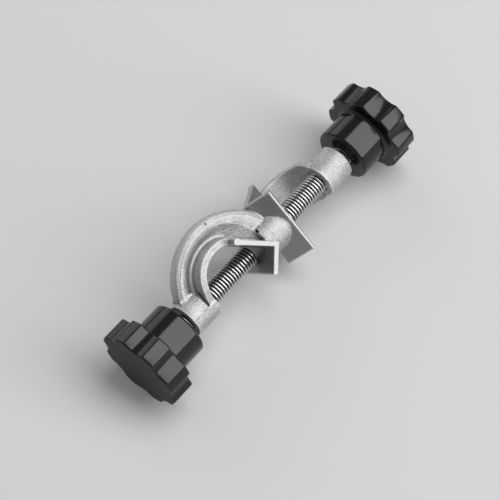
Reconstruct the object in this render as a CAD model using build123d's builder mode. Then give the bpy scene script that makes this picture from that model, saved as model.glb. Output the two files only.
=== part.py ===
"""Boss head clamp: one aluminium casting with two V jaws at right angles, and two thumb screws.

Each half of the casting is a C-shaped arm. The arm carries a V jaw near the middle of the clamp
and a threaded boss at its outer end. The second half is the first one turned end for end and a
quarter turn about the screw axis, so the two rods that the clamp joins cross at right angles.
All lengths are in millimetres. The clamp lies at rest, with its screw axis level along X.
"""

import os
from math import acos, atan2, cos, hypot, sin, sqrt

from build123d import *

os.makedirs("parts", exist_ok=True)

# V jaws: plates at 45 degrees to the screw axis
jaw_half_width = 13.4
jaw_thickness = 1.9
jaw_back = 1.3
arm_leg = 17.4
free_leg = 11.7
free_tip_round = 0.6

# C arms: an inner flange, a thin web and an outer rib
gap_radius = 10.8
gap_start_angle = 62.7
flange_thickness = 2.7
flange_width = 16.8
flange_shoulder = 5.0
web_thickness = 3.4
channel_width = 1.9
arm_shift = 2.0
arm_drop = 3.7
rib_depth = 4.6
rib_width = 6.4
rib_round = 1.2
root_fillet = 0.8
root_share = 0.45
let_in = 0.05
size_match = 1e-4

# Bosses and the hub between the jaws
boss_radius = 6.9
boss_length = 11.4
boss_proud = 0.25
boss_rim_round = 0.4
hub_radius = 6.9
bore_chamfer = 0.5

# Thumb screws
screw_diameter = 8.0
screw_fit = 0.05
screw_clearance = 0.37
tip_chamfer = 1.0
screw_embed = 18.0
end_play = 0.1

# Knobs: a lobed head on a plain round skirt
knob_gap = 2.5
skirt_radius = 10.7
skirt_length = 12.4
skirt_fillet = 1.3
skirt_end_round = 0.9
head_radius = 16.4
head_thickness = 9.4
head_edge_round = 0.6
lobe_count = 8
groove_depth = 1.8
groove_radius = 6.2
lobe_round = 1.4
knob_turns = (24.7, 5.1)

# Places that follow from the sizes above, in the plane of one arm: x runs along the screw axis,
# the screw lies on the -x side and the arm bulges towards +y
diagonal = sqrt(2)
screw_radius = screw_diameter / 2
bore_radius = screw_radius + screw_fit
jaw_apex = -(jaw_back + jaw_thickness * diagonal)
leg_rise = (arm_leg - jaw_thickness) / diagonal
leg_tip = Vector(jaw_apex - leg_rise, leg_rise)
leg_back_start = -(jaw_back + let_in)
leg_back = Vector(leg_back_start - arm_leg / diagonal, arm_leg / diagonal)
gap_center = leg_tip - Vector(gap_radius, 0).rotate(Axis.Z, gap_start_angle)
flange_radius = gap_radius + flange_thickness
flange_end = leg_tip.X + jaw_thickness / diagonal / 2
arm_center = gap_center + Vector(arm_shift, -arm_drop)
arm_radius = flange_radius + channel_width + rib_depth + hypot(arm_shift, arm_drop)
crown_height = arm_center.Y + arm_radius
boss_inner = gap_radius - gap_center.X - boss_proud
boss_outer = boss_inner + boss_length
web_end = jaw_back + rib_width / 2
arm_end = boss_rim_round + rib_round / 2 - boss_outer
tip_station = jaw_apex - (screw_radius - tip_chamfer) - screw_clearance * diagonal
skirt_end = -(boss_outer + knob_gap)
screw_end = skirt_end - screw_embed
screw_length = tip_station - screw_end
mouth_reach = hub_radius + jaw_back
groove_reach = head_radius - groove_depth + groove_radius

# Rest: the clamp lies on the outer corner of one jaw and the crown of the arm beside it, and the
# origin is on the surface below the middle of the whole clamp
corner_reach = arm_leg / diagonal
crown_lift = crown_height - rib_round - corner_reach
corner_side = jaw_half_width - (rib_width / 2 - rib_round)
lean = acos(-rib_round / hypot(crown_lift, corner_side)) - atan2(corner_side, crown_lift)
axis_height = corner_reach * cos(lean) + jaw_half_width * sin(lean)
side_reach = jaw_half_width * cos(lean) + corner_reach * sin(lean)
axis_side = (head_radius - side_reach) / 2
middle = (0, axis_side, axis_height)
end_1 = Plane(origin=middle, x_dir=(1, 0, 0), z_dir=(0, -sin(lean), cos(lean)))
end_2 = Plane(origin=middle, x_dir=(-1, 0, 0), z_dir=(0, -cos(lean), -sin(lean)))

# The flange: the inner wall of the C, as wide as the boss where it meets the boss
with BuildPart() as flange:
    with BuildSketch() as flange_ring:
        with Locations(gap_center):
            Circle(flange_radius)
            Circle(gap_radius, mode=Mode.SUBTRACT)
        with Locations((flange_end, 0)):
            Rectangle(boss_outer, crown_height, align=(Align.MAX, Align.MIN), mode=Mode.INTERSECT)
    extrude(amount=flange_width / 2, both=True)
    with BuildSketch(Plane.YZ.offset(flange_end)) as flange_front:
        Circle(boss_radius - boss_rim_round)
        with Locations((flange_shoulder, 0)):
            Rectangle(crown_height, flange_width, align=(Align.MIN, Align.CENTER))
        make_hull()
    extrude(amount=-boss_outer, mode=Mode.INTERSECT)

# The channel: the hollow on each side of the web, with rounded roots
with BuildPart() as channel:
    with BuildSketch(Plane.XY.offset(web_thickness / 2)) as channel_outline:
        with Locations(arm_center):
            Circle(arm_radius - rib_depth)
        with Locations((arm_end, 0)):
            Rectangle(web_end - arm_end, crown_height, align=Align.MIN, mode=Mode.INTERSECT)
        with Locations(gap_center):
            Circle(flange_radius - let_in, mode=Mode.SUBTRACT)
        with BuildLine():
            Polyline(
                (leg_back_start, -boss_radius),
                (leg_back_start, 0),
                leg_back,
                gap_center,
                (gap_center.X, -boss_radius),
                close=True,
            )
        make_face(mode=Mode.SUBTRACT)
    extrude(amount=flange_width / 2)
    fillet(channel.faces().sort_by(Axis.Z)[0].edges(), min(root_fillet, root_share * channel_width))
    mirror(about=Plane.XY)

# One half of the casting, in the plane of its arm: an arm of I section, a jaw, a boss and half the hub
with BuildPart() as half:
    with BuildSketch() as arm_outline:
        with Locations(arm_center):
            Circle(arm_radius)
        with Locations((arm_end, 0)):
            Rectangle(web_end - arm_end, crown_height, align=Align.MIN, mode=Mode.INTERSECT)
        with Locations(gap_center):
            Circle(gap_radius, mode=Mode.SUBTRACT)
        with BuildLine():
            Polyline(
                (-boss_inner, -boss_radius),
                (jaw_apex, -boss_radius),
                (jaw_apex, 0),
                leg_tip,
                gap_center,
                (-boss_inner, gap_center.Y),
                close=True,
            )
        make_face(mode=Mode.SUBTRACT)
    extrude(amount=rib_width / 2, both=True)
    back_edges = half.edges().filter_by(
        lambda e: e.geom_type == GeomType.CIRCLE and abs(e.radius - arm_radius) < size_match
    )
    fillet(back_edges, rib_round)
    add(channel.part, mode=Mode.SUBTRACT)
    add(flange.part)

    with BuildSketch(Plane(origin=(-jaw_back, 0, 0), x_dir=(-1, 1, 0), z_dir=(0, 0, 1))) as jaw_outline:
        Rectangle(arm_leg, jaw_thickness, align=Align.MIN)
        Rectangle(jaw_thickness, free_leg, align=Align.MIN)
        fillet(jaw_outline.vertices().group_by(Axis.Y)[-1], free_tip_round)
    extrude(amount=jaw_half_width, both=True)

    with BuildSketch() as boss_profile:
        with Locations((-boss_outer, 0)):
            Rectangle(boss_length, boss_radius, align=Align.MIN)
        rim = boss_profile.vertices().group_by(Axis.Y)[-1].sort_by(Axis.X)[0]
        fillet(rim, boss_rim_round)
    revolve(axis=Axis.X)
    with BuildSketch(Plane.YZ) as hub_outline:
        Circle(hub_radius)
    extrude(amount=-(jaw_back + hub_radius))

# The casting: two halves, the rod space of each jaw and the screw bores
with BuildPart() as cast_body:
    with Locations(Location(end_1), Location(end_2)):
        add(half.part)
    for end in (end_1, end_2):
        with BuildSketch(end) as jaw_mouth:
            with BuildLine():
                Polyline(
                    (jaw_apex, 0),
                    (jaw_apex - mouth_reach, mouth_reach),
                    (jaw_apex - mouth_reach, -mouth_reach),
                    close=True,
                )
            make_face()
        extrude(amount=jaw_half_width, both=True, mode=Mode.SUBTRACT)
        with BuildSketch(end) as bore_profile:
            with BuildLine():
                Polyline(
                    (gap_center.X, 0),
                    (gap_center.X, bore_radius),
                    (bore_chamfer - boss_outer, bore_radius),
                    (-bore_chamfer - boss_outer, bore_radius + 2 * bore_chamfer),
                    (-bore_chamfer - boss_outer, 0),
                    close=True,
                )
            make_face()
        revolve(axis=Axis(end.origin, end.x_dir), mode=Mode.SUBTRACT)
cast_body.part.label = "cast_body"
export_step(cast_body.part, "parts/cast_body.step")

# The thumb screws: plain rods at the major diameter of the thread
for number, end in enumerate((end_1, end_2), start=1):
    tip_plane = Plane(origin=end.from_local_coords((tip_station, 0, 0)), z_dir=-end.x_dir)
    with BuildPart() as screw:
        with BuildSketch(tip_plane):
            Circle(screw_radius)
        extrude(amount=screw_length)
        chamfer(screw.edges().sort_by(Axis(tip_plane.origin, tip_plane.z_dir))[0], tip_chamfer)
    screw.part.label = f"screw_{number}"
    export_step(screw.part, f"parts/screw_{number}.step")

# The knobs: a skirt turned in one piece with a head that has round finger grooves
for number, (end, turn) in enumerate(zip((end_1, end_2), knob_turns), start=1):
    outward = -end.x_dir
    grip_dir = end.y_dir.rotate(Axis((0, 0, 0), tuple(end.x_dir)), turn)
    skirt_plane = Plane(origin=end.from_local_coords((skirt_end, 0, 0)), x_dir=grip_dir, z_dir=outward)
    with BuildPart() as knob:
        with BuildSketch(skirt_plane.offset(skirt_length)) as head_outline:
            Circle(head_radius)
            with PolarLocations(groove_reach, lobe_count, start_angle=180 / lobe_count):
                Circle(groove_radius, mode=Mode.SUBTRACT)
            fillet(head_outline.vertices(), lobe_round)
        extrude(amount=head_thickness)
        fillet(knob.faces().filter_by(GeomType.PLANE).edges(), head_edge_round)
        with BuildSketch(skirt_plane) as skirt_outline:
            Circle(skirt_radius)
        extrude(amount=skirt_length)
        skirt_axis = Axis(skirt_plane.origin, skirt_plane.z_dir)
        skirt_edges = knob.edges().filter_by(
            lambda e: e.geom_type == GeomType.CIRCLE and abs(e.radius - skirt_radius) < size_match
        )
        fillet(skirt_edges.sort_by(skirt_axis)[0], skirt_end_round)
        fillet(skirt_edges.sort_by(skirt_axis)[-1], skirt_fillet)
        with BuildSketch(skirt_plane) as socket_outline:
            Circle(bore_radius)
        extrude(amount=screw_embed + end_play, mode=Mode.SUBTRACT)
    knob.part.label = f"knob_{number}"
    export_step(knob.part, f"parts/knob_{number}.step")
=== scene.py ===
"""Looks of a boss head clamp: a blasted aluminium casting, two threaded screws and two knobs.

The casting is two equal halves. Each half is described once, in the plane of its own arm: x runs
along the screw axis with the screw on the -x side, the arm bulges towards +y, and z runs along
the V jaw. Lengths are in millimetres until a mesh is made, which is in metres.
"""

import logging
import math
from dataclasses import dataclass, field
from enum import Enum

import bmesh
import bpy
import numpy as np
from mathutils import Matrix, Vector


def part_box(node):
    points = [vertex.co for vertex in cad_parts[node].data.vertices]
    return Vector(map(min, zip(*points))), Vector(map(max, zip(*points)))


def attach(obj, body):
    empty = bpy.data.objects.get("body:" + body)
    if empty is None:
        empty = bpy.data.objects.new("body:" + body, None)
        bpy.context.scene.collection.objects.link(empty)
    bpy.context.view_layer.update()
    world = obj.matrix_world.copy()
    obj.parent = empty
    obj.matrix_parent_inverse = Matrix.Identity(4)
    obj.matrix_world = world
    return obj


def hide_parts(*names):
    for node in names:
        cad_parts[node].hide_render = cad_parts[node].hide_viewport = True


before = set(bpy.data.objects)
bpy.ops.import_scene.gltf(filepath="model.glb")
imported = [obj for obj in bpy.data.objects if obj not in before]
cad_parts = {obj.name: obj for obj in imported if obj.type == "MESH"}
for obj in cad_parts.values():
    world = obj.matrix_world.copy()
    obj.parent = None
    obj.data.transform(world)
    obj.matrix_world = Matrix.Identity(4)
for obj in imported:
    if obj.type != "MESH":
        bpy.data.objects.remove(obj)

import openvdb
from mathutils import Matrix, Vector

logging.basicConfig(level=logging.INFO, format="%(name)s: %(message)s")
LOG = logging.getLogger("boss_head")

MM = 0.001
DIAGONAL = math.sqrt(2)
FULL_TURN = 2 * math.pi
# Points of a closed grid that lie closer than this, in metres, are one point
WELD = 2e-6
# Keeps a slope of no length from being divided by zero
TINY = 1e-9


class End(Enum):
    """The two ends of the clamp, as in the names of the CAD nodes."""

    STANDING = 1
    LYING = 2

    @property
    def letter(self) -> str:
        """The letter that this end's bodies carry in their names."""
        return "a" if self is End.STANDING else "b"


class Slot(Enum):
    """Names of the material slots."""

    CASTING = "casting"
    SCREW = "screw"
    KNOB = "knob"


def srgb(code: str) -> tuple:
    """Turns a hex colour as seen on screen into linear light.

    Args:
        code: six hex digits.

    Returns:
        Linear red, green, blue and an alpha of one.
    """
    shown = [int(code[i : i + 2], 16) / 255 for i in (0, 2, 4)]
    linear = [v / 12.92 if v <= 0.04045 else ((v + 0.055) / 1.055) ** 2.4 for v in shown]
    return (*linear, 1.0)


def union(a: np.ndarray, b: np.ndarray, blend: float) -> np.ndarray:
    """Joins two distance fields with a cast fillet.

    The lesser of the two, lowered by a parabola where they differ by less than the blend.

    Args:
        a: distance to the first form, negative inside.
        b: distance to the second form.
        blend: how far from the corner the fillet starts, in millimetres.

    Returns:
        The distance to both.
    """
    near = np.maximum(blend - np.abs(a - b), 0) / blend
    return np.minimum(a, b) - near * near * blend / 4


def overlap(a: np.ndarray, b: np.ndarray, blend: float) -> np.ndarray:
    """What two distance fields have in common, with its edge rounded over the blend."""
    return -union(-a, -b, blend)


@dataclass(frozen=True)
class Pit:
    """A small blowhole in the casting's skin, in the frame of the standing end."""

    place: tuple
    radius: float


@dataclass(frozen=True)
class Casting:
    """The casting: two halves, each with a V jaw, a C arm of I section, a boss and half the hub.

    Its surface is where a distance worked out for every point of space is nil. Points named p are
    in the frame of one end, and each such method gives one distance a point, negative inside.
    """

    # V jaw: two plates at 45 degrees to the screw axis, the longer one joined to the arm
    jaw_half_width: float = 13.4
    jaw_thickness: float = 1.9
    jaw_back: float = 1.3
    arm_leg: float = 17.4
    free_leg: float = 11.7
    jaw_tip_round: float = 0.6
    jaw_edge_round: float = 0.25
    corner_round: float = 0.12
    lip_radius: float = 1.25
    lip_height: float = 0.5

    # C arm: an inner flange round the gap, a thin web and an outer rib. The flange stands a little
    # off the arm leg's back. The web's half thickness starts at its root by the flange and rises
    # by a share of the way out. Shift and drop are from the gap's centre to the outer edge's
    gap_radius: float = 10.8
    gap_start_angle: float = 62.7
    flange_thickness: float = 2.7
    flange_half_width: float = 8.4
    flange_shoulder: float = 5.0
    flange_stand: float = 0.85
    web_half_root: float = 1.3
    web_rise: float = 0.36
    web_rise_width: float = 4.5
    channel_width: float = 1.9
    arm_shift: float = 2.0
    arm_drop: float = 3.7
    rib_depth: float = 4.6
    rib_width: float = 6.4
    rib_taper: float = 0.35
    rib_round: float = 1.2
    round_blend: float = 1.2
    rib_inner_round: float = 3.0
    arm_edge_round: float = 0.5

    # Boss, with the seam where its mould parted, and the hub between the jaws
    boss_radius: float = 6.9
    boss_length: float = 11.4
    boss_proud: float = 0.25
    boss_rim_round: float = 0.5
    boss_neck: float = 3.9
    boss_draft: float = 0.15
    neck_radius: float = 5.6
    seam_height: float = 0.1
    seam_width: float = 0.3
    bore_radius: float = 4.05
    bore_chamfer: float = 0.5
    hub_arm_side: float = 2.3
    hub_past_middle: float = 1.0
    knob_gap: float = 2.5

    # Ridge where the rib's side runs out on the boss: x from the neck and from the outer face
    ridge_start: tuple = (-0.3, 6.5, 3.0)
    ridge_end: tuple = (2.0, 7.0, 2.9)
    ridge_radius: float = 0.42

    # Cast fillets, from the deepest to a mere crease, and the blowholes that the photograph shows
    root_fillet: float = 1.8
    joint_fillet: float = 0.9
    crease: float = 0.4
    pits: tuple = (
        Pit((-14.2, 20.5, 3.2), 0.3),
        Pit((-22.2, 20.7, 3.2), 0.25),
        Pit((-1.7, 5.6, 4.0), 0.45),
        Pit((-1.9, 5.1, 4.5), 0.45),
    )

    # Grid that the surface is laid in, and how finely the surface is found again
    voxel: float = 0.3
    margin: float = 1.2
    most_triangles: int = 192000
    passes: int = 3
    place_step: float = 0.02
    normal_step: float = 0.05

    # How far the painted shade feels for a hollow and the finish for an edge, and what counts as on a
    # face
    hollow_reach: float = 1.2
    edge_reach: float = 0.5
    touch: float = 0.12

    @property
    def apex(self) -> float:
        """Where the inner faces of a jaw's two plates meet, on the screw axis."""
        return -(self.jaw_back + self.jaw_thickness * DIAGONAL)

    @property
    def gap_center(self) -> tuple:
        """Centre of the C's gap, whose edge starts at the tip of the arm leg.

        Returns:
            Its x and y.
        """
        rise = (self.arm_leg - self.jaw_thickness) / DIAGONAL
        angle = math.radians(self.gap_start_angle)
        return (self.apex - rise - self.gap_radius * math.cos(angle),
                rise - self.gap_radius * math.sin(angle))

    @property
    def arm_center(self) -> tuple:
        """Centre of the arm's outer edge."""
        return (self.gap_center[0] + self.arm_shift, self.gap_center[1] - self.arm_drop)

    @property
    def arm_radius(self) -> float:
        """Radius of the arm's outer edge."""
        flange = self.gap_radius + self.flange_thickness
        return flange + self.channel_width + self.rib_depth + math.hypot(self.arm_shift, self.arm_drop)

    @property
    def boss_inner(self) -> float:
        """Station of the boss's face towards the gap."""
        return self.gap_center[0] - self.gap_radius + self.boss_proud

    @property
    def boss_outer(self) -> float:
        """Station of the boss's outer face."""
        return self.boss_inner - self.boss_length

    @property
    def knob_start(self) -> float:
        """Station of the end face of the knob's skirt, which stands off the boss by the gap."""
        return self.boss_outer - self.knob_gap

    @property
    def lean(self) -> float:
        """Angle of the first arm from upright, as the clamp lies on a jaw's corner and an arm's crown.

        Returns:
            The angle in radians at which the line that touches both is level.
        """
        lift = self.arm_center[1] + self.arm_radius - self.rib_round - self.arm_leg / DIAGONAL
        side = self.jaw_half_width - (self.rib_width / 2 - self.rib_round)
        return math.acos(-self.rib_round / math.hypot(lift, side)) - math.atan2(side, lift)

    def axes(self, end: End) -> np.ndarray:
        """Directions of one end's own axes in the row frame.

        Args:
            end: the end.

        Returns:
            The x, y and z directions as the rows of a 3 by 3 array.
        """
        c = math.cos(self.lean)
        s = math.sin(self.lean)
        if end is End.STANDING:
            return np.array([(1, 0, 0), (0, c, s), (0, -s, c)])
        return np.array([(-1, 0, 0), (0, s, -c), (0, -c, -s)])

    def middle(self) -> np.ndarray:
        """The point of the screw axis midway between the ends, in millimetres."""
        low, high = (np.array(corner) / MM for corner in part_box("screw_1"))
        return (low + high) / 2 * (0, 1, 1)

    def to_end(self, points: np.ndarray, end: End) -> np.ndarray:
        """Row-frame points in one end's own frame, in millimetres."""
        return (points - self.middle()) @ self.axes(end).T

    def to_row(self, points: np.ndarray, end: End) -> np.ndarray:
        """Points of one end's own frame in the row frame, in millimetres."""
        return points @ self.axes(end) + self.middle()

    def along_leg(self, x: np.ndarray, y: np.ndarray) -> np.ndarray:
        """How far a point lies along the arm leg from the corner behind the apex."""
        return (y - x - self.jaw_back) / DIAGONAL

    def through_leg(self, x: np.ndarray, y: np.ndarray) -> np.ndarray:
        """How deep a point lies in the arm leg, from its back face."""
        return (-y - x - self.jaw_back) / DIAGONAL

    def jaw(self, p: np.ndarray) -> np.ndarray:
        """Distance to the V jaw: two plates at right angles, and a low round lip on the long one's tip.

        In the section each plate is a strip, from nil to its thickness one way and from nil to its
        length the other way, and the lip is a circle. All end at the jaw's half width.

        Args:
            p: points in the end's own frame.

        Returns:
            One distance for each point.
        """
        along = self.along_leg(p[:, 0], p[:, 1])
        through = self.through_leg(p[:, 0], p[:, 1])
        ends = np.abs(p[:, 2]) - self.jaw_half_width

        def plate(length_way: np.ndarray, thin_way: np.ndarray, length: float, tip: float) -> np.ndarray:
            """One plate of the section, with its tip rounded."""
            skin = np.maximum(-thin_way, thin_way - self.jaw_thickness)
            return overlap(np.maximum(skin, -length_way), length_way - length, tip)

        lip_along = along - (self.arm_leg - self.lip_radius)
        lip = np.hypot(lip_along, through - (self.lip_radius - self.lip_height)) - self.lip_radius
        arm_plate = plate(along, through, self.arm_leg, self.corner_round)
        section = np.minimum(arm_plate, plate(through, along, self.free_leg, self.jaw_tip_round))
        return overlap(union(section, lip, self.crease), ends, self.corner_round)

    def flange(self, p: np.ndarray) -> np.ndarray:
        """Distance to the C's inner wall.

        A ring whose half width narrows in a straight line to the boss's below its shoulder. Over
        the arm leg the ring's crest is flattened, and it ends in the lip of the leg.

        Args:
            p: points in the end's own frame.

        Returns:
            One distance for each point.
        """
        x, y, z = p.T
        from_gap = np.hypot(x - self.gap_center[0], y - self.gap_center[1])
        half_thick = self.flange_thickness / 2
        ring = np.abs(from_gap - self.gap_radius - half_thick) - half_thick
        ring = overlap(ring, -self.through_leg(x, y) - self.flange_stand, self.joint_fillet)
        neck = self.boss_radius - self.boss_rim_round
        corner = math.hypot(self.flange_shoulder, self.flange_half_width)
        slope = math.atan2(self.flange_half_width, self.flange_shoulder) + math.acos(neck / corner)
        side = np.abs(z)
        taper = math.cos(slope) * y + math.sin(slope) * side - neck
        section = np.maximum(side - self.flange_half_width, taper)
        front = self.arm_leg - self.lip_radius - self.along_leg(x, y)
        cut = np.maximum(front, -y)
        return overlap(overlap(ring, section, self.arm_edge_round), cut, self.arm_edge_round)

    def rib_and_web(self, p: np.ndarray) -> np.ndarray:
        """Distance to the arm's outer rib and the thin web inside it, with a soft slope between.

        The rib is a ring that narrows outwards in a straight line. The web thickens towards the
        rib in a straight line, and is open over the gap up to the line from the gap's centre to
        the tip of the arm leg.

        Args:
            p: points in the end's own frame.

        Returns:
            One distance for each point.
        """
        x, y, z = p.T
        side = np.abs(z)
        from_arm = np.hypot(x - self.arm_center[0], y - self.arm_center[1])
        gap_x, gap_y = x - self.gap_center[0], y - self.gap_center[1]
        from_gap = np.hypot(gap_x, gap_y)
        outer_end = self.boss_outer + self.boss_rim_round * 2
        stretch = np.maximum(np.maximum(-y, x - self.jaw_back - self.rib_width / 2), outer_end - x)
        out_share = np.clip((from_arm - self.arm_radius) / self.rib_depth + 1, 0, 1)
        half_rib = self.rib_width / 2 - self.rib_taper * out_share
        outer = overlap(from_arm - self.arm_radius, side - half_rib, self.rib_round * self.round_blend)
        rib = overlap(outer, self.arm_radius - self.rib_depth - from_arm, self.rib_inner_round)
        rib = overlap(rib, stretch, self.arm_edge_round)
        angle = math.radians(self.gap_start_angle)
        before_tip = math.cos(angle) * gap_y - math.sin(angle) * gap_x
        under_leg = np.maximum(self.jaw_thickness / 2 - self.through_leg(x, y), before_tip)
        open_gap = np.minimum(from_gap - self.gap_radius - self.flange_thickness / 2, under_leg)
        beyond_flange = from_gap - self.gap_radius - self.flange_thickness
        half_web = self.web_half_root + self.web_rise * np.clip(beyond_flange, 0, self.web_rise_width)
        web = np.maximum(from_arm - self.arm_radius + self.rib_depth / 2, side - half_web)
        web = np.maximum(np.maximum(web, -open_gap), stretch)
        return union(rib, web, self.root_fillet)

    def boss(self, p: np.ndarray) -> np.ndarray:
        """Distance to the boss.

        A round bar with a slighter neck in the arm's hollow. The mould parts at y = 0: the half
        below it is smaller by the draft, and a low seam, a bell curve in y, runs along the joint.

        Args:
            p: points in the end's own frame.

        Returns:
            One distance for each point.
        """
        x, y, z = p.T
        radial = np.hypot(y, z)
        neck = np.maximum(radial - self.neck_radius, x - self.boss_inner)
        below = self.boss_radius - self.boss_draft
        lower = np.maximum(np.maximum(radial - below, x - self.boss_inner), y)
        seam = self.seam_height * np.exp(-((y / self.seam_width) ** 2))
        radius = below + self.boss_draft * np.clip(y / self.seam_width, 0, 1) + seam
        main = np.maximum(radial - radius, x - self.boss_inner + self.boss_neck)
        bar = np.minimum(np.minimum(neck, lower), main)
        return overlap(bar, self.boss_outer - x, self.boss_rim_round)

    def ridge(self, p: np.ndarray) -> np.ndarray:
        """Distance to the thin ridge where the rib's side runs out on the boss: a straight round bar.

        Args:
            p: points in the end's own frame.

        Returns:
            How far each point is from the nearest point of the bar's middle line, less its radius.
        """
        start = np.array(self.ridge_start) + (self.boss_inner - self.boss_neck, 0, 0)
        run = np.array(self.ridge_end) + (self.boss_outer, 0, 0) - start
        side = np.column_stack([p[:, 0], p[:, 1], np.abs(p[:, 2])]) - start
        share = np.clip(side @ run / (run @ run), 0, 1)
        return np.linalg.norm(side - share[:, None] * run, axis=1) - self.ridge_radius

    def half(self, p: np.ndarray) -> np.ndarray:
        """Distance to one half of the casting: its arm, boss and jaw, and its part of the hub.

        Args:
            p: points in the end's own frame.

        Returns:
            One distance for each point.
        """
        radial = np.hypot(p[:, 1], p[:, 2])
        hub_length = self.jaw_back + self.boss_radius
        hub_ends = np.maximum(p[:, 0] - self.hub_past_middle, -p[:, 0] - hub_length)
        hub = np.maximum(radial - self.boss_radius, hub_ends)
        hub = overlap(hub, np.minimum(p[:, 1], -p[:, 0] - self.hub_arm_side), self.joint_fillet)
        arm = union(self.rib_and_web(p), self.flange(p), self.root_fillet)
        arm = union(arm, self.boss(p), self.crease)
        arm = union(arm, self.ridge(p), self.crease)
        core = union(hub, self.jaw(p), self.joint_fillet)
        return union(arm, core, self.joint_fillet)

    def distance(self, points: np.ndarray) -> np.ndarray:
        """Distance to the whole casting: two halves, less the rod spaces, the bores and the pits.

        A rod space is the wedge between a jaw's two plates, and a bore is a cylinder about the
        screw axis that starts in the middle of the gap.

        Args:
            points: places in the row frame, in millimetres.

        Returns:
            One distance for each point, negative inside the metal.
        """
        ends = [self.to_end(points, end) for end in End]
        solid = union(self.half(ends[0]), self.half(ends[1]), self.crease)
        for p in ends:
            wedge = (p[:, 0] + np.abs(p[:, 1]) - self.apex) / DIAGONAL
            far = self.apex - self.boss_radius - self.jaw_back - p[:, 0]
            mouth = np.maximum(wedge, np.maximum(far, np.abs(p[:, 2]) - self.jaw_half_width))
            solid = overlap(solid, -mouth, self.jaw_edge_round)
            bore = np.maximum(np.hypot(p[:, 1], p[:, 2]) - self.bore_radius, p[:, 0] - self.gap_center[0])
            solid = overlap(solid, -bore, self.bore_chamfer)
        for pit in self.pits:
            hole = np.linalg.norm(ends[0] - np.array(pit.place), axis=1) - pit.radius
            solid = overlap(solid, -hole, self.jaw_edge_round)
        return solid

    def slope(self, points: np.ndarray, step: float) -> np.ndarray:
        """Direction in which the distance grows fastest, by central differences.

        Args:
            points: places in the row frame, in millimetres.
            step: how far to each side the distance is felt for.

        Returns:
            One unit vector for each point.
        """
        grad = np.empty_like(points)
        for axis in range(3):
            shift = np.zeros(3)
            shift[axis] = step
            grad[:, axis] = self.distance(points + shift) - self.distance(points - shift)
        return grad / np.maximum(np.linalg.norm(grad, axis=1, keepdims=True), TINY)

    def settle(self, points: np.ndarray) -> np.ndarray:
        """Moves each point by its distance, against the slope, on to the true surface."""
        return points - self.distance(points)[:, None] * self.slope(points, self.place_step)

    def skin(self) -> tuple:
        """Points and quads where the distance is nil.

        The distance is worked out on a grid over the CAD node's box, a surface is laid through its
        zero, and its points are settled on the true one.

        Returns:
            The points in the row frame, in millimetres, and four point numbers for each quad.
        """
        low, high = (np.array(corner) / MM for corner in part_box("cast_body"))
        counts = np.ceil((high - low + 2 * self.margin) / self.voxel).astype(int)
        lines = [low[a] - self.margin + self.voxel * np.arange(counts[a]) for a in range(3)]
        values = np.empty(counts, dtype=np.float32)
        for number, x in enumerate(lines[0]):
            y, z = np.meshgrid(lines[1], lines[2], indexing="ij")
            sheet = np.column_stack([np.full(y.size, x), y.ravel(), z.ravel()])
            values[number] = self.distance(sheet).reshape(y.shape)
        grid = openvdb.FloatGrid(self.margin)
        grid.copyFromArray(values)
        points, quads = grid.convertToQuads()
        points = points.astype(float) * self.voxel + (low - self.margin)
        for _ in range(self.passes):
            points = self.settle(points)
        return points, quads

    def build(self) -> bpy.types.Object:
        """Makes the casting's mesh, thins it, settles it once more and dresses it.

        Returns:
            The new piece.
        """
        points, quads = self.skin()
        mesh = bpy.data.meshes.new("blasted_casting")
        mesh.from_pydata((points * MM).tolist(), [], quads.tolist())
        piece = bpy.data.objects.new("blasted_casting", mesh)
        bpy.context.scene.collection.objects.link(piece)
        thin = piece.modifiers.new("thin", "DECIMATE")
        thin.ratio = min(1.0, self.most_triangles / (2 * len(quads)))
        deps = bpy.context.evaluated_depsgraph_get()
        piece.data = bpy.data.meshes.new_from_object(piece.evaluated_get(deps))
        piece.modifiers.clear()
        bpy.data.meshes.remove(mesh)
        facing_out(piece.data)
        points = self.settle(points_of(piece.data))
        piece.data.vertices.foreach_set("co", (points * MM).ravel())
        piece.data.update()
        self.dress(piece.data, points)
        LOG.info("casting: %d quads laid, %d faces kept", len(quads), len(piece.data.polygons))
        return piece

    def dress(self, mesh: bpy.types.Mesh, points: np.ndarray) -> None:
        """Gives the casting its smooth normals and the masks that its finish reads.

        A point is in a hollow as far as a step off the surface meets metal again, and rubbed as
        far as a step into it comes out on another side.

        Args:
            mesh: the casting's mesh.
            points: its points in the row frame, in millimetres.
        """
        slope = self.slope(points, self.normal_step)
        mesh.shade_smooth()
        mesh.normals_split_custom_set_from_vertices(slope.tolist())
        # How enclosed each point is, which the finish darkens as painted shade
        hollow = 1 - self.distance(points + slope * self.hollow_reach) / self.hollow_reach
        rubbed = 1 + self.distance(points - slope * self.edge_reach) / self.edge_reach
        plate = np.zeros(len(points))
        ground = np.zeros(len(points))
        pitted = np.zeros(len(points))
        for end in End:
            p = self.to_end(points, end)
            on_jaw = np.abs(self.jaw(p)) < self.touch
            at_side = np.abs(p[:, 2]) > self.jaw_half_width - self.touch
            at_tip = self.through_leg(p[:, 0], p[:, 1]) > self.free_leg - self.jaw_tip_round
            plate = np.maximum(plate, on_jaw)
            rubbed = np.maximum(rubbed, on_jaw & at_tip)
            ground = np.maximum(ground, on_jaw & at_side)
        # The blowholes, which the finish paints near black as painted shade
        for pit in self.pits:
            depth = np.linalg.norm(self.to_end(points, End.STANDING) - np.array(pit.place), axis=1)
            pitted = np.maximum(pitted, depth < pit.radius + self.touch)
        for name, values in (("hollow", hollow), ("rubbed", rubbed), ("ground", ground),
                             ("plate", plate), ("pitted", pitted)):
            store(mesh, name, values)


def points_of(mesh: bpy.types.Mesh) -> np.ndarray:
    """Reads a mesh's points.

    Args:
        mesh: a mesh in metres.

    Returns:
        Its points in millimetres, one a row.
    """
    flat = np.empty(len(mesh.vertices) * 3)
    mesh.vertices.foreach_get("co", flat)
    return flat.reshape(-1, 3) / MM


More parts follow.
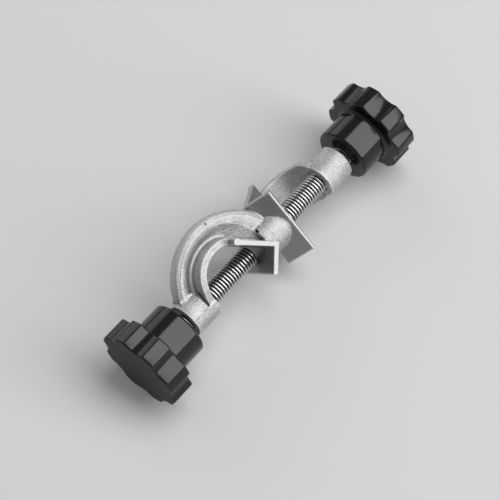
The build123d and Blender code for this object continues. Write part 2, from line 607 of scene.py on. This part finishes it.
def store(mesh: bpy.types.Mesh, name: str, values: np.ndarray) -> None:
    """Stores one value from 0 to 1 at each point of a mesh, for its finish to read."""
    layer = mesh.attributes.new(name, "FLOAT", "POINT")
    layer.data.foreach_set("value", np.clip(values.astype(np.float32), 0, 1))


def facing_out(mesh: bpy.types.Mesh, weld: float = 0.0) -> None:
    """Turns a closed mesh's faces outwards.

    Args:
        mesh: the mesh.
        weld: distance in metres within which its points are merged first, or nil for none.
    """
    work = bmesh.new()
    work.from_mesh(mesh)
    if weld > 0:
        bmesh.ops.remove_doubles(work, verts=work.verts, dist=weld)
    bmesh.ops.recalc_face_normals(work, faces=work.faces)
    work.to_mesh(mesh)
    work.free()
    mesh.update()


def grid_piece(name: str, grid: np.ndarray, sharp: float) -> bpy.types.Object:
    """A closed skin over a grid of points, welded where its edges and poles meet.

    Args:
        name: the piece's name.
        grid: array of row, column and coordinate in the row frame, in millimetres.
        sharp: angle in degrees from which an edge stays crisp.

    Returns:
        The new piece, linked to the scene.
    """
    rows, columns, _ = grid.shape
    number = np.arange(rows * columns).reshape(rows, columns)
    quads = np.stack([number[:-1, :-1], number[1:, :-1], number[1:, 1:], number[:-1, 1:]], axis=-1)
    mesh = bpy.data.meshes.new(name)
    mesh.from_pydata((grid.reshape(-1, 3) * MM).tolist(), [], quads.reshape(-1, 4).tolist())
    facing_out(mesh, WELD)
    mesh.shade_smooth()
    mesh.set_sharp_from_angle(angle=math.radians(sharp))
    piece = bpy.data.objects.new(name, mesh)
    bpy.context.scene.collection.objects.link(piece)
    return piece


@dataclass(frozen=True)
class ThumbScrew:
    """An M8 screw with a chamfered tip, threaded from the tip into the knob."""

    pitch: float = 1.25
    major_radius: float = 3.98
    thread_depth: float = 0.72
    tip_chamfer: float = 1.0
    around: int = 72
    turns_in_knob: int = 2
    sharp: float = 28.0
    # One crest and one root: share of the pitch from the tip, and share of the thread's depth
    profile: tuple = (
        (0.0, 0.04), (0.04, 0.0), (0.2, 0.0), (0.24, 0.04), (0.52, 0.93), (0.6, 1.0), (0.72, 0.93),
    )

    def build(self, end: End, casting: Casting) -> bpy.types.Object:
        """Makes one screw as a grid that follows its thread.

        A row is one point of the thread's profile carried along the helix: at angle a its station
        is that of the profile point plus the pitch times a over a full turn. Rows that run past the
        tip or the end of the thread are held there and weld into one ring.

        Args:
            end: the end of the clamp that it belongs to.
            casting: the casting that it is screwed into.

        Returns:
            The new piece.
        """
        low, high = (np.array(corner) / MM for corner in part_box(f"screw_{end.value}"))
        tip = -min(abs(low[0]), abs(high[0]))
        knob_end = -max(abs(low[0]), abs(high[0]))
        thread_end = casting.knob_start - self.turns_in_knob * self.pitch
        turns = math.ceil((tip - thread_end) / self.pitch) + 1
        shares, depths = np.array(self.profile).T
        back = ((np.arange(turns)[:, None] + shares).ravel() * self.pitch)[:, None]
        theta = np.linspace(0, FULL_TURN, self.around + 1)
        station = tip - back + self.pitch * theta / FULL_TURN
        threaded = self.major_radius - self.thread_depth * np.tile(depths, turns)[:, None]
        radius = np.where(station <= thread_end, self.major_radius, threaded)
        station = np.clip(station, thread_end, tip)
        tip_radius = self.major_radius - self.tip_chamfer
        radius = np.minimum(radius, tip_radius + tip - station)
        before = np.array([(tip, 0), (tip, tip_radius)])
        after = np.array([(thread_end, self.major_radius), (knob_end, self.major_radius), (knob_end, 0)])
        columns = len(theta)
        station = np.vstack([np.tile(before[:, :1], columns), station, np.tile(after[:, :1], columns)])
        radius = np.vstack([np.tile(before[:, 1:], columns), radius, np.tile(after[:, 1:], columns)])
        grid = np.stack([station, radius * np.cos(theta), radius * np.sin(theta)], axis=-1)
        piece = grid_piece(f"threaded_screw_{end.value}", casting.to_row(grid, end), self.sharp)
        self.dress(piece.data, end, casting)
        LOG.info("screw %d: %d faces", end.value, len(piece.data.polygons))
        return piece

    def dress(self, mesh: bpy.types.Mesh, end: End, casting: Casting) -> None:
        """Stores how deep each point lies in the thread, which the finish paints dark in the roots as
        painted shade.

        Args:
            mesh: the screw's mesh.
            end: the end of the clamp that it belongs to.
            casting: the casting that it is screwed into.
        """
        p = casting.to_end(points_of(mesh), end)
        depth = (self.major_radius - np.hypot(p[:, 1], p[:, 2])) / self.thread_depth
        store(mesh, "root", depth)


@dataclass(frozen=True)
class Knob:
    """A lobed head on a plain round skirt, with a blind socket for the screw."""

    skirt_radius: float = 10.7
    skirt_length: float = 12.4
    skirt_fillet: float = 1.3
    skirt_end_round: float = 0.9
    head_radius: float = 16.4
    head_thickness: float = 9.4
    head_edge_round: float = 0.6
    lobes: int = 8
    groove_depth: float = 1.8
    groove_radius: float = 6.2
    lobe_round: float = 1.4
    socket_radius: float = 4.05
    socket_depth: float = 18.1
    arc_points: int = 7
    sharp: float = 40.0
    # How far below the top a point still counts as on the matt outer face
    face_depth: float = 0.15

    @property
    def top(self) -> float:
        """How far the outer face is from the end of the skirt."""
        return self.skirt_length + self.head_thickness

    def arc(self, center: tuple, radius: float, start: float, stop: float) -> np.ndarray:
        """Points along an arc, without its last one."""
        angles = np.linspace(start, stop, self.arc_points, endpoint=False)
        return np.column_stack([center[0] + radius * np.cos(angles), center[1] + radius * np.sin(angles)])

    def outline(self, inset: float) -> np.ndarray:
        """The head's closed outline, moved in by an inset.

        Half a lobe is a crest arc about the axis, a small round arc and half a groove arc, which
        are tangent, so an inset only changes their radii. The other half mirrors it, and the lobe
        is turned about the axis as often as there are lobes.

        Args:
            inset: how far inside the full outline, in millimetres.

        Returns:
            Its points in the plane of the head, the first one repeated at the end.
        """
        groove_at = self.head_radius - self.groove_depth + self.groove_radius
        round_at = self.head_radius - self.lobe_round
        reach = self.groove_radius + self.lobe_round
        half = math.pi / self.lobes
        apart = math.acos((round_at**2 + groove_at**2 - reach**2) / (2 * round_at * groove_at))
        crest_half = half - apart
        round_center = round_at * np.array([math.cos(crest_half), math.sin(crest_half)])
        groove_center = groove_at * np.array([math.cos(half), math.sin(half)])
        toward = groove_center - round_center
        touch = math.atan2(toward[1], toward[0])
        rise = np.vstack([
            self.arc((0, 0), self.head_radius - inset, 0, crest_half),
            self.arc(round_center, self.lobe_round - inset, crest_half, touch),
            self.arc(groove_center, self.groove_radius + inset, touch - math.pi, half - math.pi),
            (groove_at - self.groove_radius - inset) * groove_center[None, :] / groove_at,
        ])
        c, s = math.cos(2 * half), math.sin(2 * half)
        lobe = np.vstack([rise, rise[-2:0:-1] @ np.array([(c, s), (s, -c)])])
        angles = 2 * half * np.arange(self.lobes)
        spin = np.array([(np.cos(angles), np.sin(angles)), (-np.sin(angles), np.cos(angles))])
        closed = np.einsum("pi,ijl->lpj", lobe, spin).reshape(-1, 2)
        return np.vstack([closed, closed[:1]])

    def build(self, end: End, turn: float, casting: Casting) -> bpy.types.Object:
        """Makes one knob as a stack of rings, from the bottom of its socket to its outer face.

        The rings of a rounded edge or fillet follow a quarter circle: its height goes with one
        less the cosine, and its inset with one less the sine, or the other way round.

        Args:
            end: the end of the clamp that it belongs to.
            turn: angle of its first lobe about the screw axis, in degrees.
            casting: the casting that it stands off.

        Returns:
            The new piece.
        """
        outline = self.outline(0)
        circle = outline / np.linalg.norm(outline, axis=1, keepdims=True)
        rounds = np.linspace(0, math.pi / 2, self.arc_points)
        edge = self.head_edge_round
        stack = [(self.socket_depth, circle * 0), (self.socket_depth, circle * self.socket_radius)]
        stack.append((0.0, circle * self.socket_radius))
        for a in rounds:
            radius = self.skirt_radius - self.skirt_end_round * (1 - math.sin(a))
            stack.append((self.skirt_end_round * (1 - math.cos(a)), circle * radius))
        for a in rounds:
            radius = self.skirt_radius + self.skirt_fillet * (1 - math.cos(a))
            stack.append((self.skirt_length - self.skirt_fillet * (1 - math.sin(a)), circle * radius))
        for a in rounds:
            ring = self.outline(edge * (1 - math.sin(a)))
            stack.append((self.skirt_length + edge * (1 - math.cos(a)), ring))
        for a in rounds:
            stack.append((self.top - edge * (1 - math.sin(a)), self.outline(edge * (1 - math.cos(a)))))
        stack.append((self.top, circle * 0))
        spin = math.radians(turn)
        flat = np.stack([ring for _, ring in stack])
        heights = np.array([height for height, _ in stack])[:, None]
        grid = np.stack([
            np.broadcast_to(casting.knob_start - heights, flat.shape[:2]),
            flat[..., 0] * math.cos(spin) - flat[..., 1] * math.sin(spin),
            flat[..., 0] * math.sin(spin) + flat[..., 1] * math.cos(spin),
        ], axis=-1)
        piece = grid_piece(f"lobed_knob_{end.value}", casting.to_row(grid, end), self.sharp)
        self.dress(piece.data, end, casting)
        LOG.info("knob %d: %d faces", end.value, len(piece.data.polygons))
        return piece

    def dress(self, mesh: bpy.types.Mesh, end: End, casting: Casting) -> None:
        """Stores which points are on the outer face, for the finish to read.

        Args:
            mesh: the knob's mesh.
            end: the end of the clamp that it belongs to.
            casting: the casting that it stands off.
        """
        height = casting.knob_start - casting.to_end(points_of(mesh), end)[:, 0]
        store(mesh, "face", height > self.top - self.face_depth)


@dataclass(frozen=True)
class Span:
    """A stretch of a pattern's values, and the values that its two ends become."""

    start: float
    stop: float
    low: float = 0.0
    high: float = 1.0

    @property
    def inputs(self) -> dict:
        """The four values, under the names of a Map Range node's inputs."""
        return {"From Min": self.start, "From Max": self.stop, "To Min": self.low, "To Max": self.high}


@dataclass(frozen=True)
class Grain:
    """A noise pattern: about how large its grains are, in millimetres, and how much finer it goes."""

    size: float
    detail: float = 2.0

    @property
    def inputs(self) -> dict:
        """Its scale, in grains a metre, and its detail, under the names of a noise node's inputs."""
        return {"Scale": 1 / (self.size * MM), "Detail": self.detail}


class Surface:
    """A material under construction: a node tree that ends in one Principled shader."""

    def __init__(self, name: str) -> None:
        """Starts an empty material.

        Args:
            name: the material's name.
        """
        self.material = bpy.data.materials.new(name)
        self.material.use_nodes = True
        self.tree = self.material.node_tree
        self.tree.nodes.clear()
        self.place = self.node("TexCoord").outputs["Object"]

    def node(self, kind: str, links: dict | None = None, **settings: object) -> bpy.types.Node:
        """Adds one shader node.

        Args:
            kind: the node's type name, without its ShaderNode prefix.
            links: for an input's name or number, the socket that feeds it or the value it keeps.
            **settings: properties of the node itself.

        Returns:
            The new node.
        """
        node = self.tree.nodes.new("ShaderNode" + kind)
        for name, value in settings.items():
            setattr(node, name, value)
        for name, value in (links or {}).items():
            if isinstance(value, bpy.types.NodeSocket):
                self.tree.links.new(value, node.inputs[name])
            else:
                node.inputs[name].default_value = value
        return node

    def finish(self, links: dict) -> bpy.types.Material:
        """Closes the material.

        Args:
            links: for each input of its Principled shader, a socket or a value.

        Returns:
            The finished material.
        """
        shader = self.node("BsdfPrincipled", links)
        self.node("OutputMaterial", {"Surface": shader.outputs["BSDF"]})
        return self.material


@dataclass(frozen=True)
class BlastedAluminium:
    """Aluminium, cast and shot blasted.

    To the eye it is a matt, even, light grey with a fine grain and no mirror image. Its edges are
    rubbed bright, and the jaws' plates are smoother and darker. Its hollows are darkened with
    painted shade, the grain's tops carry a painted glint and its bottoms painted shade, and the
    blowholes are painted near black as painted shade.
    """

    light: str = "c8c8c9"
    dark: str = "adadaf"
    # Painted shade, for the hollows and the bottoms of the grain
    painted_shade: str = "707173"
    plate: str = "a2a3a5"
    # For the rubbed edges, and for a painted glint on the tops of the grain
    bright: str = "e2e2e3"
    ground: str = "bcbcbd"
    # Near black, painted into the blowholes as painted shade
    pit_shade: str = "2a2a2b"

    # Faint clouds over some millimetres, and the cast skin's slight unevenness
    cloud: Grain = Grain(4.0, 3.0)
    cloud_span: Span = Span(0.35, 0.65)
    pebble: Grain = Grain(1.2)
    pebble_depth: float = 0.06

    # Shot leaves dimples of about 0.2 mm, and a pixel is 0.35 mm. So they are drawn coarser, and
    # deeper, than they are, so that they show. Their tops are painted lighter as a painted glint,
    # and their bottoms darker as painted shade
    grain: Grain = Grain(0.5)
    grain_depth: float = 0.22
    painted_glint_span: Span = Span(0.48, 0.66, 0.0, 0.7)
    painted_grain_shade_span: Span = Span(0.34, 0.46, 0.2, 0.0)
    plate_grain: Span = Span(0.0, 1.0, 0.4, 0.6)

    # How far the hollows' painted shade and the rubbed edges go, and how rough the grain, the plates and
    # the jaws' ends are
    hollow_shade_span: Span = Span(0.1, 0.9, 0.0, 0.75)
    rubbed_span: Span = Span(0.1, 0.45, 0.0, 0.95)
    rough_span: Span = Span(0.3, 0.7, 0.52, 0.64)
    plate_rough: float = 0.48
    ground_rough: float = 0.56

    def material(self) -> bpy.types.Material:
        """Makes the material: coats of colour one over the other, then gloss and relief.

        Returns:
            The material, which reads the masks that the casting stores.
        """
        s = Surface("blasted_aluminium")
        masks = ("hollow", "plate", "rubbed", "ground", "pitted")
        mask = {name: s.node("Attribute", attribute_name=name).outputs["Fac"] for name in masks}
        cloud, grain, pebble = (
            s.node("TexNoise", {"Vector": s.place, **noise.inputs}).outputs["Fac"]
            for noise in (self.cloud, self.grain, self.pebble)
        )
        colour = srgb(self.dark)
        # Coats, in turn: random clouds, a painted glint and painted shade on the grain, painted shade in
        # the hollows, the plates, the rubbed edges, the ground ends and painted shade in the blowholes
        for pattern, span, coat in (
            (cloud, self.cloud_span, self.light),
            (grain, self.painted_glint_span, self.bright),
            (grain, self.painted_grain_shade_span, self.painted_shade),
            (mask["hollow"], self.hollow_shade_span, self.painted_shade),
            (mask["plate"], None, self.plate),
            (mask["rubbed"], self.rubbed_span, self.bright),
            (mask["ground"], None, self.ground),
            (mask["pitted"], None, self.pit_shade),
        ):
            if span:
                pattern = s.node("MapRange", {"Value": pattern, **span.inputs}).outputs["Result"]
            mix = s.node("Mix", {"Factor": pattern, 6: colour, 7: srgb(coat)}, data_type="RGBA")
            colour = mix.outputs[2]
        rough = s.node("MapRange", {"Value": grain, **self.rough_span.inputs}).outputs["Result"]
        for name, value in (("plate", self.plate_rough), ("ground", self.ground_rough)):
            rough = s.node("Mix", {"Factor": mask[name], 2: rough, 3: value}).outputs[0]
        faint = s.node("MapRange", {"Value": grain, **self.plate_grain.inputs}).outputs["Result"]
        fine = s.node("Mix", {"Factor": mask["plate"], 2: grain, 3: faint}).outputs[0]
        coarse = s.node("Bump", {"Height": pebble, "Distance": self.pebble_depth * MM, "Strength": 1.0})
        relief = s.node("Bump", {
            "Height": fine, "Distance": self.grain_depth * MM, "Strength": 1.0,
            "Normal": coarse.outputs["Normal"],
        })
        return s.finish({
            "Metallic": 1.0, "Base Color": colour, "Roughness": rough, "Normal": relief.outputs["Normal"],
        })


@dataclass(frozen=True)
class ZincPlate:
    """Steel, threaded and plated with zinc.

    To the eye the crests are bright and the roots are painted dark as painted shade, so the
    thread reads as stripes.
    """

    crest: str = "d6d6d4"
    # Painted shade in the thread's roots
    root: str = "4a4a4b"
    root_shade_span: Span = Span(0.15, 0.85)
    cloud: Grain = Grain(1.5)
    rough_span: Span = Span(0.3, 0.7, 0.22, 0.34)

    def material(self) -> bpy.types.Material:
        """Makes the material.

        Returns:
            The material, which reads the depth that the screw stores.
        """
        s = Surface("zinc_plated_steel")
        depth = s.node("Attribute", attribute_name="root").outputs["Fac"]
        share = s.node("MapRange", {"Value": depth, **self.root_shade_span.inputs}).outputs["Result"]
        tones = {"Factor": share, 6: srgb(self.crest), 7: srgb(self.root)}
        colour = s.node("Mix", tones, data_type="RGBA").outputs[2]
        cloud = s.node("TexNoise", {"Vector": s.place, **self.cloud.inputs}).outputs["Fac"]
        rough = s.node("MapRange", {"Value": cloud, **self.rough_span.inputs}).outputs["Result"]
        return s.finish({"Metallic": 1.0, "Base Color": colour, "Roughness": rough})


@dataclass(frozen=True)
class BlackPhenolic:
    """Black phenolic resin, moulded.

    To the eye it is a deep gloss whose reflections bend very slightly, with a matt outer face.
    """

    colour: str = "101011"
    ior: float = 1.45
    specular: float = 0.5
    cloud: Grain = Grain(3.0, 3.0)
    gloss_span: Span = Span(0.3, 0.7, 0.12, 0.18)
    face_rough: float = 0.55

    # Slow waves all over, and on the outer face a fine grain, drawn coarse enough to show. The
    # rest is level, at a middling height
    wave: Grain = Grain(5.0, 1.0)
    wave_depth: float = 0.02
    grain: Grain = Grain(0.5)
    grain_depth: float = 0.02
    level: float = 0.5

    def material(self) -> bpy.types.Material:
        """Makes the material.

        Returns:
            The material, which reads the outer face that the knob stores.
        """
        s = Surface("black_phenolic")
        face = s.node("Attribute", attribute_name="face").outputs["Fac"]
        cloud, wave, grain = (
            s.node("TexNoise", {"Vector": s.place, **noise.inputs}).outputs["Fac"]
            for noise in (self.cloud, self.wave, self.grain)
        )
        gloss = s.node("MapRange", {"Value": cloud, **self.gloss_span.inputs}).outputs["Result"]
        rough = s.node("Mix", {"Factor": face, 2: gloss, 3: self.face_rough}).outputs[0]
        fine = s.node("Mix", {"Factor": face, 2: self.level, 3: grain}).outputs[0]
        slow = s.node("Bump", {"Height": wave, "Distance": self.wave_depth * MM, "Strength": 1.0})
        relief = s.node("Bump", {
            "Height": fine, "Distance": self.grain_depth * MM, "Strength": 1.0,
            "Normal": slow.outputs["Normal"],
        })
        return s.finish({
            "Base Color": srgb(self.colour), "IOR": self.ior, "Specular IOR Level": self.specular,
            "Roughness": rough, "Normal": relief.outputs["Normal"],
        })


@dataclass(frozen=True)
class PaleBoard:
    """Pale uncoated board for the floor: to the eye plain and matt, with no reflection."""

    colour: str = "d9d9d8"
    rough: float = 0.85

    def material(self) -> bpy.types.Material:
        """Makes the material."""
        return Surface("pale_board").finish({"Base Color": srgb(self.colour), "Roughness": self.rough})


@dataclass(frozen=True)
class Softbox:
    """A rectangular studio light aimed at the clamp. Lengths are in metres, power in watts."""

    name: str
    place: tuple
    size: tuple
    power: float

    def build(self) -> None:
        """Adds the light to the scene.

        It is squared to the screw axis, so that its mirror image in a round knob is a band that
        runs straight along it.
        """
        light = bpy.data.lights.new(self.name, "AREA")
        light.shape = "RECTANGLE"
        light.size, light.size_y = self.size
        light.energy = self.power
        lamp = bpy.data.objects.new(self.name, light)
        away = Vector(self.place).normalized()
        across = (Vector((1, 0, 0)) - away * away.x).normalized()
        turned = Matrix((across, away.cross(across), away)).transposed()
        lamp.matrix_world = Matrix.Translation(self.place) @ turned.to_4x4()
        bpy.context.scene.collection.objects.link(lamp)


@dataclass(frozen=True)
class Studio:
    """A plain pale floor under soft light, seen from the photograph's angle. Lengths are in metres."""

    softboxes: tuple = (
        Softbox("key_softbox", (0.51, -0.825, 1.15), (0.82, 3.0), 29.0),
        Softbox("back_softbox", (0.3, 1.4, 0.6), (1.3, 0.8), 3.6),
    )
    room: str = "f4f6f8"
    room_strength: float = 0.3
    floor_reach: float = 3.0

    # Camera, fitted to points of the photograph
    eye: tuple = (-0.19974, -0.19635, 0.51423)
    target: tuple = (-0.00571, 0.00063, 0.01646)
    roll: float = -5.912
    focal_pixels: float = 1608.4
    image_pixels: int = 500
    sensor: float = 36.0
    clip_start: float = 0.01

    def add_floor(self) -> None:
        """A plain pale floor that fills every view."""
        r = self.floor_reach
        mesh = bpy.data.meshes.new("floor")
        mesh.from_pydata([(-r, -r, 0), (r, -r, 0), (r, r, 0), (-r, r, 0)], [], [(0, 1, 2, 3)])
        mesh.materials.append(PaleBoard().material())
        floor = bpy.data.objects.new("floor", mesh)
        bpy.context.scene.collection.objects.link(floor)

    def add_room(self) -> None:
        """Even pale light from all round."""
        world = bpy.data.worlds.new("studio")
        world.use_nodes = True
        background = world.node_tree.nodes["Background"]
        background.inputs["Color"].default_value = srgb(self.room)
        background.inputs["Strength"].default_value = self.room_strength
        bpy.context.scene.world = world

    def add_camera(self) -> None:
        """A camera where the photograph's stood, with the same view angle and tilt."""
        camera = bpy.data.cameras.new("photo_view")
        camera.sensor_width = self.sensor
        camera.lens = self.focal_pixels / self.image_pixels * self.sensor
        camera.clip_start = self.clip_start
        eye = bpy.data.objects.new("photo_view", camera)
        ahead = Vector(self.target) - Vector(self.eye)
        turned = ahead.to_track_quat("-Z", "Y").to_matrix().to_4x4()
        turned = turned @ Matrix.Rotation(math.radians(self.roll), 4, "Z")
        eye.matrix_world = Matrix.Translation(self.eye) @ turned
        bpy.context.scene.collection.objects.link(eye)
        bpy.context.scene.camera = eye

    def build(self) -> None:
        """Adds the floor, the lights and the camera."""
        self.add_floor()
        self.add_room()
        for box in self.softboxes:
            box.build()
        self.add_camera()


@dataclass(frozen=True)
class BossHead:
    """The whole clamp: the casting, and a screw and a knob at each end."""

    casting: Casting = field(default_factory=Casting)
    screw: ThumbScrew = field(default_factory=ThumbScrew)
    knob: Knob = field(default_factory=Knob)
    # Angle of each knob's first lobe about the screw axis, in degrees
    turns: tuple = ((End.STANDING, 24.7), (End.LYING, 5.1))

    def seat(self, piece: bpy.types.Object, node: str, body: str,
             material: bpy.types.Material) -> None:
        """Gives a piece its material and body, and lets it stand for its CAD node.

        Args:
            piece: the finished piece.
            node: the CAD node that it replaces.
            body: the body that it moves with.
            material: its finish.
        """
        piece.data.materials.append(material)
        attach(piece, body)
        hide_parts(node)

    def build(self) -> None:
        """Builds every piece and seats it on its body."""
        zinc = ZincPlate().material()
        black = BlackPhenolic().material()
        cast = BlastedAluminium().material()
        self.seat(self.casting.build(), "cast_body", "casting", cast)
        for end, turn in self.turns:
            screw = self.screw.build(end, self.casting)
            self.seat(screw, f"screw_{end.value}", f"screw_{end.letter}", zinc)
            knob = self.knob.build(end, turn, self.casting)
            self.seat(knob, f"knob_{end.value}", f"knob_{end.letter}", black)


def main() -> None:
    """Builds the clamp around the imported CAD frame, and the studio around the clamp."""
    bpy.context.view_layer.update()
    bpy.context.scene.view_settings.view_transform = "Standard"
    BossHead().build()
    Studio().build()
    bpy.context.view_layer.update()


if __name__ == "__main__":
    main()
